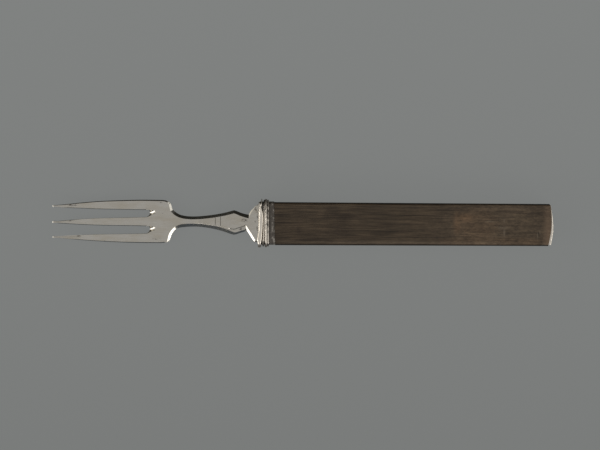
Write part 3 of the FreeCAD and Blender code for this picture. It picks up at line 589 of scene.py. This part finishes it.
def steel_fork():
    """A profile carried along the outline: inset edge of the top face, foot of its arris, foot
    of the small facet, foot of the bevel, then the same below. Both broad faces are filled."""
    outline, inset, width, gullet, bevel_slope = steel_rings()
    flare = (outline[:, 1] < 0) & (outline[:, 0] > 60.0) & (outline[:, 0] < WAIST_AT + 0.05)
    along = outline[flare, 0]
    # Shares of the bevel's width that lie outside the arris and outside the facet, and slopes.
    arris_at = np.clip(1.0 - ARRIS / np.maximum(width, 0.02), 0.4, 0.98)
    facet_at = arris_at * 0.5
    arris_slope = np.full(len(outline), math.tan(math.radians(17.0)))
    facet_slope = bevel_slope * np.where(gullet, 0.85, 1.0)
    arris_at[flare] = follow(along, ((60.0, 0.95), (71.0, 0.95), (73.0, 0.87), (79.7, 0.86)))
    facet_at[flare] = follow(along, ((60.0, 0.94), (67.5, 0.92), (68.9, 0.83), (71.4, 0.6),
                                     (73.0, 0.52), (74.4, 0.42), (75.0, 0.34), (79.7, 0.3)))
    arris_slope[flare] = follow(along, ((60.0, 0.3), (71.5, 0.3), (73.5, 1.1), (79.7, 1.1)))
    facet_slope[flare] = follow(along, ((60.0, 0.5), (67.0, 0.12), (79.7, 0.08)))
    bevel_slope[gullet] *= 1.3
    ridge = outline + (inset - outline) * arris_at[:, None]
    ledge = outline + (inset - outline) * facet_at[:, None]
    low_inset = outline + (inset - outline) * np.where(gullet, 0.04, 0.5)[:, None]
    thick = half_thick(outline[:, 0])

    def heights(ring, side):
        return mid_height(ring[:, 0]) + side * half_thick(ring[:, 0])

    arris_drop = width * (1.0 - arris_at) * arris_slope
    facet_drop = arris_drop + width * (arris_at - facet_at) * facet_slope
    bevel_drop = facet_drop + width * facet_at * bevel_slope
    deepest = thick * np.where(gullet, 1.6, 1.15)
    squash = np.minimum(1.0, deepest / np.maximum(bevel_drop, 1e-6))
    low_rise = np.minimum(width * 0.35, thick * 0.3)
    rings = [
        (inset, heights(inset, 1.0)),
        (ridge, heights(ridge, 1.0) - arris_drop * squash),
        (ledge, heights(ledge, 1.0) - facet_drop * squash),
        (outline, heights(outline, 1.0) - bevel_drop * squash),
        (outline, heights(outline, -1.0) + low_rise),
        (low_inset, heights(low_inset, -1.0)),
    ]
    count = len(outline)
    points = [np.column_stack([ring, height]) for ring, height in rings]
    quads = grid_quads(len(rings), count, columns_close=True)

    ends, cuts = [], []
    for place, top, foot in ENGRAVED:
        for shift in (-1.35, -1.0, 0.0, 1.0, 1.35):
            ends += [(place + shift * ENGRAVED_HALF, top), (place + shift * ENGRAVED_HALF, foot)]
            cuts.append((len(ends) - 2, len(ends) - 1))
    extra, top_faces = fill_face(inset, np.array(ends), cuts)
    share = np.clip(1.0 - nearest_line(extra[:, 0]) / ENGRAVED_HALF, 0.0, 1.0)
    top_points = np.column_stack([extra, heights(extra, 1.0) - ENGRAVED_DEEP * share])
    first_extra = count * len(rings)
    top_faces = np.where(top_faces >= count, top_faces - count + first_extra, top_faces)
    extra_low, low_faces = fill_face(low_inset, np.zeros((0, 2)), [])
    low_points = np.column_stack([extra_low, heights(extra_low, -1.0)])
    low_start = first_extra + len(top_points)
    low_faces = np.where(low_faces >= count, low_faces - count + low_start,
                         low_faces + count * (len(rings) - 1))
    everything = np.vstack(points + [top_points, low_points])
    soil = np.zeros(len(everything))
    soil[first_extra:low_start] = nearest_line(extra[:, 0]) < ENGRAVED_HALF * 1.1
    everything[:, 0] = station(everything[:, 0]) / MM
    triangles = np.vstack([top_faces[:, ::-1], low_faces])
    make_piece("steel_fork", "fork_forging", everything, quads, triangles,
               steel, crisp_above=12.0, marks={"soil": soil})


# ------------------------------------------------------------------ silver collar

AROUND = 240
COLLAR_CORNER = 1.3
REED_FOOT = 0.1
# How far the joint of sleeve and wood wanders along X, by Y.
SLEEVE_END = ((-8.0, 0.1), (0.0, -0.22), (8.0, -0.38))


def rounded_section(half_wide, half_tall, radius):
    """A rounded rectangle about the handle's axis, as points and outward normals, evenly spaced
    along its length: four straight sides joined by quarter circles."""
    quarter = math.pi / 2 * radius
    wide, tall = 2 * (half_wide - radius), 2 * (half_tall - radius)
    marks = np.cumsum([0.0, tall, quarter, wide, quarter, tall, quarter, wide, quarter])
    reach = np.linspace(0.0, marks[-1], AROUND, endpoint=False) + tall * 0.013
    side = np.clip(np.searchsorted(marks, reach, side="right") - 1, 0, 7)
    part = (reach - marks[side]) / np.diff(marks)[side]
    corner = side // 2
    is_arc = side % 2 == 1
    angle = corner * math.pi / 2 + np.where(is_arc, part * math.pi / 2, 0.0)
    normal = np.stack([np.cos(angle), np.sin(angle)], axis=-1)
    centres = np.array([(1, 1), (-1, 1), (-1, -1), (1, -1)]) * (half_wide - radius,
                                                                half_tall - radius)
    arc_points = centres[corner] + normal * radius
    starts = np.array([centres[3], centres[0], centres[1], centres[2]])
    straight = starts[corner] + (centres[corner] - starts[corner]) * part[:, None]
    straight = straight + normal * radius
    points = np.where(is_arc[:, None], arc_points, straight)
    return points, normal


def node_span(node):
    """Where a CAD node starts and ends along X, in millimetres."""
    low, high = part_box(node)
    return low[0] / MM, high[0] / MM


def node_middle(node):
    """The middle of a CAD node's box and its half sizes, in millimetres."""
    low, high = np.array(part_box(node))
    return (low + high) / 2 / MM, (high - low) / 2 / MM


def ring_round_handle(name, node, beads, sink=0.0):
    """Closed profiles of (place along X, height off the handle's skin) carried round the
    handle's section. Each bead gives its profile, its crest values, how far its two sides
    wander along X as (Y, shift) tables, and how clean it is as a (Y, share) table."""
    skin, normal = rounded_section(collar_wide - sink, collar_tall - sink, COLLAR_CORNER)
    points, quads, marks, start = [], [], [], 0
    for profile, crest, left, right, clean in beads:
        profile = np.asarray(profile)
        ring = skin[None, :, :] + normal[None, :, :] * profile[:, 1][:, None, None]
        across = ring[:, :, 0]
        part = (profile[:, 0] - profile[:, 0].min()) / np.ptp(profile[:, 0])
        along = (profile[:, 0][:, None] + (1.0 - part)[:, None] * follow(across, left)
                 + part[:, None] * follow(across, right))
        points.append(np.stack([along, across, ring[:, :, 1] + axis_z / MM],
                               axis=-1).reshape(-1, 3))
        quads.append(grid_quads(len(profile), AROUND, True, True) + start)
        marks.append((np.asarray(crest)[:, None] * follow(across, clean)).ravel())
        start += len(points[-1])
    make_piece(name, node, np.vstack(points), np.vstack(quads), [], silver,
               marks={"crest": np.concatenate(marks)})


def bead(start, end, proud, squareness=3.0):
    """Profile of a reed, closed along the handle's skin: |u|^n + |h|^n = 1, a rounder rectangle
    as n grows. The crest value is its height as a share of the whole."""
    angle = np.linspace(math.pi, 0.0, 21)
    middle, half = (start + end) / 2, (end - start) / 2
    power = 2.0 / squareness
    lift = np.sin(angle) ** power
    along = middle + half * np.sign(np.cos(angle)) * np.abs(np.cos(angle)) ** power
    profile = np.column_stack([along, REED_FOOT + (proud - REED_FOOT) * lift])
    profile = np.vstack([[start, 0.0], profile, [end, 0.0]])
    return profile, np.concatenate([[0.0], lift, [0.0]])


def silver_collar():
    """Three reeds, the plain sleeve behind them and the plate that closes the front."""
    proud = (cad_box[1][2] - collar_high[2]) / MM
    start, end = node_span("front_reed")
    broad = bead(start, end, proud * 0.985)
    broad_left = ((-8.6, -0.2), (-8.0, -0.35), (-6.5, -0.65), (-5.0, -0.3), (-3.3, 0.05),
                  (0.0, 0.1), (3.3, 0.22), (5.0, 0.22), (6.5, 0.3), (7.3, 0.55), (8.2, 1.1))
    broad_right = ((-8.1, -0.8), (-6.5, -0.42), (-3.3, -0.2), (0.0, 0.0), (3.3, 0.08),
                   (5.0, -0.3), (6.5, -0.8), (8.2, -0.4))
    fine = bead(end + 0.12, end + 0.8, proud * 0.62, squareness=2.6)
    fine_shift = ((-8.0, -0.35), (-3.0, -0.05), (8.0, 0.05))
    broad_clean = ((-9.3, 0.25), (-8.3, 0.45), (-7.4, 1.1), (4.0, 1.0), (7.2, 0.9), (8.2, 0.3))
    fine_clean = ((-8.6, 0.15), (-7.4, 0.4), (-6.6, 0.85), (-3.0, 0.7), (3.0, 0.56),
                  (6.5, 0.26), (8.0, 0.2))
    ring_round_handle("front_reed_wire", "front_reed",
                      [(broad[0], broad[1] * 1.1, broad_left, broad_right, broad_clean),
                       (fine[0], fine[1], fine_shift, fine_shift, fine_clean)])
    for name, node, share, near, far, clean in (
            ("middle_reed_wire", "middle_reed", 0.9, 0.4, 0.1,
             ((-8.8, 0.2), (-8.0, 0.35), (-7.0, 0.7), (-3.0, 0.5), (3.0, 0.46), (5.0, 0.4),
              (6.5, 0.32), (8.0, 0.2))),
            ("rear_reed_wire", "rear_reed", 0.6, 0.08, 0.0,
             ((-8.8, 0.15), (-7.2, 0.62), (-4.0, 0.5), (0.0, 0.4), (3.3, 0.3), (6.5, 0.4),
              (8.0, 0.2)))):
        start, end = node_span(node)
        profile, crest = bead(start, end, proud * share)
        ring_round_handle(name, node, [(profile, crest, ((0.0, near), (1.0, near)),
                                        ((0.0, far), (1.0, far)), clean)])
    start, end = node_span("ferrule_sleeve")
    profile = np.array([(start, -0.45), (start, 0.0), (start + 2.0, 0.03), (start + 3.6, 0.03),
                        (end - 0.12, 0.03), (end, -0.05), (end, -0.45)])
    ring_round_handle("silver_sleeve", "ferrule_sleeve",
                      [(profile, (0.0, 0.05, 0.07, 0.11, 0.2, 0.0, 0.0),
                        ((0.0, 0.0), (1.0, 0.0)), SLEEVE_END, ((-8.0, 1.3), (8.0, 0.8)))],
                      sink=0.05)
    low, high = node_span("collar_front_plate")
    skin, _ = rounded_section(collar_wide - 0.15, collar_tall - 0.15, 0.9)
    rows = [np.column_stack([np.full(AROUND, along), skin * share]) for along, share in (
        (low, 0.5), (low, 0.97), (low + 0.12, 1.0), (high - 0.05, 1.0), (high, 0.97),
        (high, 0.5))]
    points, quads, fans = capped(rows, (low, 0.0, 0.0), (high, 0.0, 0.0))
    points[:, 2] += axis_z / MM
    make_piece("silver_front_plate", "collar_front_plate", points, quads, fans,
               silver, marks={"crest": np.full(len(points), 0.45)})


# ------------------------------------------------------------------ handle and butt

WOOD_END = 204.3
CROWN = 0.0119
# The wood thins by this much over the last run before the butt, above and below.
BUTT_DROP = 0.6
BUTT_RUN = 2.9
WOOD_CORNER = 1.1
HANDLE_ASIDE = -0.18
# Nothing of the strip or its pins goes beyond these distances from the tine tips.
STRIP_LIMIT = 204.98
PIN_LIMIT = 204.99
PIN_HEAD = 0.14
PIN_DEEP = 6.0
PIN_SIDES = 24


def wood_end(across):
    """Where the wood stops along the fork: a shallow crown whose top is a little to the +Y
    side, with the +Y corner worn round."""
    worn = 0.9 * np.clip((across - 7.6) / 1.0, 0.0, 1.1) ** 2
    cut_back = 0.15 * np.clip((-2.0 - across) / 4.0, 0.0, 1.0)
    return WOOD_END - CROWN * (across - 1.5) ** 2 - worn - cut_back


def strip_end(across):
    """The outer face of the silver strip, which is thick on the -Y side and dies away on the
    +Y side."""
    thick = follow(across, ((-8.4, 1.05), (-5.6, 1.0), (-2.3, 0.9), (1.0, 0.6), (3.0, 0.4),
                            (4.5, 0.2), (6.0, 0.08), (8.4, 0.05)))
    return np.minimum(wood_end(across) + thick, STRIP_LIMIT)


def hardwood_handle():
    """A rounded rectangle carried along X, slightly narrower at the butt, thinned over the last
    few millimetres, and closed by a crowned end that shrinks to a pole. Its front end follows
    the edge of the sleeve."""
    front = (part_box("ferrule_sleeve")[1][0] - tips_x) / MM
    middle, (_, half_wide, half_tall) = node_middle("handle_block")
    skin, normal = rounded_section(half_wide, half_tall, WOOD_CORNER)
    part = np.concatenate([np.linspace(0.0, 0.97, 60), np.linspace(0.97, 1.0, 12)[1:]])
    rows = []
    for share in part:
        across = skin[:, 0] * (0.989 - 0.023 * share) + HANDLE_ASIDE
        along = front + (wood_end(across) - front) * share
        along = along + follow(across, SLEEVE_END) * (1.0 - share)
        thin = BUTT_DROP * np.clip((along - (wood_end(across) - BUTT_RUN)) / BUTT_RUN, 0, 1)
        up = skin[:, 1] * (1.0 - thin / half_tall)
        rows.append(np.column_stack([along, across, up]))
    last = rows[-1]
    for share in (0.985, 0.94, 0.8, 0.55, 0.25):
        across = last[:, 1] * share
        rows.append(np.column_stack([wood_end(across) + 0.02, across, last[:, 2] * share]))
    points, quads, fans = capped(rows, (rows[0][:, 0].mean(), 0.0, 0.0),
                                 (wood_end(0.0) + 0.02, 0.0, 0.0))
    points[:, 0] = station(points[:, 0]) / MM
    points[:, 2] += middle[2]
    # Where the painted edge shade goes: 1 along the long edges and round to the sides, 0 on the
    # broad faces and the butt end.
    edge = np.clip((np.abs(normal[:, 0]) - 0.36) / 0.3, 0.0, 1.0)
    arris = np.zeros(len(points))
    arris[:len(part) * AROUND] = np.tile(edge, len(part))
    make_piece("hardwood_handle", "handle_block", points, quads, fans, wood,
               crisp_above=40.0, marks={"arris": arris})


def silver_strip():
    """A closed section in X and Z carried along Y: flat against the wood, rounded over at the
    top and bottom of its outer face, thinner towards +Y."""
    middle, (_, _, half_tall) = node_middle("butt_plate")
    across = np.linspace(-8.35, 8.2, 70)
    inner, outer = wood_end(across) - 0.02, strip_end(across)
    thick = outer - inner
    angle = np.linspace(0.0, math.pi / 2, 8)
    edge = np.minimum(thick, 0.45)[:, None]
    out_share = np.concatenate([[0.0], np.sin(angle) - 1.0, (np.sin(angle) - 1.0)[::-1], [0.0]])
    is_face = np.concatenate([[0.0], np.ones(16), [0.0]])
    along = (inner[:, None] + thick[:, None] * is_face[None, :]
             + edge * out_share[None, :])
    side = np.concatenate([np.ones(9), -np.ones(9)])
    fall = np.concatenate([[0.0], 1 - np.cos(angle), (1 - np.cos(angle))[::-1], [0.0]])
    up = side[None, :] * (half_tall - edge * fall[None, :])
    rows = np.stack([station(along) / MM, np.broadcast_to(across[:, None], along.shape),
                     up + middle[2]], axis=-1)
    points, quads, fans = capped(rows, rows[0].mean(axis=0), rows[-1].mean(axis=0))
    make_piece("silver_butt_strip", "butt_plate", points, quads, fans, silver,
               crisp_above=50.0, marks={"crest": np.full(len(points), 0.62)})


def strip_pins():
    """Two domed pins, each a profile turned about X: radius r cos a, height h sin a."""
    middle, (_, reach_out, radius) = node_middle("butt_plate_pins")
    turn = np.linspace(0.0, 2 * math.pi, PIN_SIDES, endpoint=False)
    lift = np.linspace(0.0, math.pi / 2, 6)[:-1]
    pins = []
    for side in (-1, 1):
        across = side * (reach_out - radius)
        face = float(strip_end(across))
        head = min(PIN_HEAD, PIN_LIMIT - face)
        outline = [(face - PIN_DEEP, radius)]
        outline += [(face + head * math.sin(angle), radius * math.cos(angle)) for angle in lift]
        rows = [np.column_stack([np.full(PIN_SIDES, along), reach * np.cos(turn),
                                 reach * np.sin(turn)]) for along, reach in outline]
        pin, quads, fans = capped(rows, (face - PIN_DEEP, 0.0, 0.0), (face + head, 0.0, 0.0))
        pin += (0.0, across, middle[2])
        start = len(pins) * len(pin)
        pins.append((pin, quads + start, fans + start))
    points, quads, fans = [np.vstack(parts) for parts in zip(*pins)]
    points[:, 0] = station(points[:, 0]) / MM
    make_piece("silver_strip_pins", "butt_plate_pins", points, quads, fans, silver,
               marks={"crest": np.full(len(points), 0.5)})


steel_fork()
silver_collar()
hardwood_handle()
silver_strip()
strip_pins()
node_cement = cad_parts["tang_cement"]
node_cement.data.materials.clear()
node_cement.data.materials.append(cement)

# ------------------------------------------------------------------ floor, light and camera

# Half of the board's side and the camera's height above the fork's axis, in metres, and the
# millimetres along X that the camera takes in.
FLOOR_HALF = 6.0
CAMERA_HEIGHT = 2.0
VIEW_WIDE = 245.52


def studio_floor():
    """Pale board lit so evenly that it takes almost no shadow: most of its light is its own,
    and it falls off a little towards -Y."""
    mesh = bpy.data.meshes.new("studio_floor")
    mesh.from_pydata([(x * FLOOR_HALF, y * FLOOR_HALF, 0)
                      for x, y in ((-1, -1), (1, -1), (1, 1), (-1, 1))], [], [(0, 1, 2, 3)])
    floor = bpy.data.objects.new("studio_floor", mesh)
    bpy.context.scene.collection.objects.link(floor)
    finish = bpy.data.materials.new("matt_studio_board")
    add = emptied(finish)
    across = add("SeparateXYZ", add("TexCoord", out="Object"), out="Y")
    # The glow changes over a quarter of a metre, from one side of the fork to the other.
    part = add("Math", across, 4.0, 0.5, operation="MULTIPLY_ADD")
    glow = add("ValToRGB", part, stops=((0.0, srgb("757776")), (0.5, srgb("7B7D7C")),
                                        (1.0, srgb("7F8180"))))
    add("OutputMaterial", add("BsdfPrincipled", Base_Color=srgb("353635"), Roughness=0.9,
                              Specular_IOR_Level=0.0, Emission_Color=glow,
                              Emission_Strength=0.92))
    mesh.materials.append(finish)


def bearing(azimuth, elevation):
    """Unit vector for an azimuth from +X towards +Y and an elevation, both in degrees."""
    turn, lift = math.radians(azimuth), math.radians(elevation)
    return (math.cos(turn) * math.cos(lift), math.sin(turn) * math.cos(lift), math.sin(lift))


def soft_box(name, azimuth, wide, low, high, shine):
    """A large soft lamp a metre from the fork that faces it. Its power is pi x area x shine."""
    lamp = bpy.data.lights.new(name, "AREA")
    lamp.shape = "RECTANGLE"
    lamp.size = wide
    lamp.size_y = high - low
    lamp.energy = math.pi * wide * (high - low) * shine
    holder = bpy.data.objects.new(name, lamp)
    x, y, _ = bearing(azimuth, 0.0)
    holder.location = (x, y, (low + high) / 2)
    # Tipped a little downwards.
    holder.rotation_euler = Vector((-x, -y, -0.15)).to_track_quat("-Z", "Y").to_euler()
    bpy.context.scene.collection.objects.link(holder)


def studio_room():
    """A dim room with a long light bank overhead, along X, and dark walls to the +Y and -Y
    sides, so that bevels read dark where they face them."""
    world = bpy.data.worlds.new("studio_room")
    bpy.context.scene.world = world
    add = emptied(world)
    way = add("TexCoord", out="Generated")
    lift = add("SeparateXYZ", way, out="Z")
    across = add("SeparateXYZ", way, out="Y")
    bank = add("ValToRGB", lift, stops=((0.0, 0.02), (0.35, 0.06), (0.7, 0.42), (1.0, 0.54)))
    for side, stops in ((across, ((0.22, 1.0), (0.55, 0.04))),
                        (add("Math", across, -1.0, operation="MULTIPLY"),
                         ((0.45, 1.0), (0.8, 0.15)))):
        bank = add("Math", bank, add("ValToRGB", side, stops=stops, ease=True),
                   operation="MULTIPLY")
    light = add("Mix", 1.0, (0.0, 0.0, 0.0, 1.0), bank, data_type="RGBA", blend_type="ADD")
    # Weak fills: walls that catch some light, as (azimuth, elevation, cosines, colour).
    for azimuth, elevation, outer, inner, tint in (
            (8.0, 12.0, 0.80, 0.93, (1.2, 1.2, 1.17, 1.0)),
            (170.0, 15.0, 0.70, 0.93, (0.95, 0.93, 0.88, 1.0)),
            (90.0, 15.0, 0.60, 0.95, (0.02, 0.02, 0.018, 1.0)),
            (-90.0, 10.0, 0.70, 0.95, (0.06, 0.075, 0.095, 1.0))):
        near = add("VectorMath", way, bearing(azimuth, elevation), operation="DOT_PRODUCT")
        share = add("ValToRGB", near, stops=((outer, 0.0), (inner, 1.0)), ease=True)
        patch = add("Mix", 1.0, share, tint, data_type="RGBA", blend_type="MULTIPLY")
        light = add("Mix", 1.0, light, patch, data_type="RGBA", blend_type="ADD")
    # Seen directly, the room is as pale as the board.
    shown = add("Mix", add("LightPath", out="Is Camera Ray"), light, srgb("7E807F"),
                data_type="RGBA")
    add("OutputWorld", add("Background", shown, 1.0))


def overhead_camera():
    """A long lens straight above, turned a little so that the butt lies slightly lower."""
    lens = bpy.data.cameras.new("overhead_camera")
    lens.sensor_width = 36.0
    lens.lens = lens.sensor_width * CAMERA_HEIGHT / (VIEW_WIDE * MM)
    lens.clip_end = 50.0
    camera = bpy.data.objects.new("overhead_camera", lens)
    camera.location = (-1.02 * MM, -0.7 * MM, CAMERA_HEIGHT + axis_z)
    camera.rotation_euler = (0.0, 0.0, math.radians(0.3))
    bpy.context.scene.collection.objects.link(camera)
    bpy.context.scene.camera = camera


bpy.context.scene.view_settings.view_transform = "Standard"
studio_floor()
studio_room()
soft_box("left_soft_box", -157.0, 0.82, 0.03, 0.62, 3.0)
soft_box("upper_left_soft_box", -128.0, 0.5, 0.5, 0.95, 2.3)
soft_box("right_soft_box", -36.0, 0.82, 0.03, 0.62, 3.0)
overhead_camera()
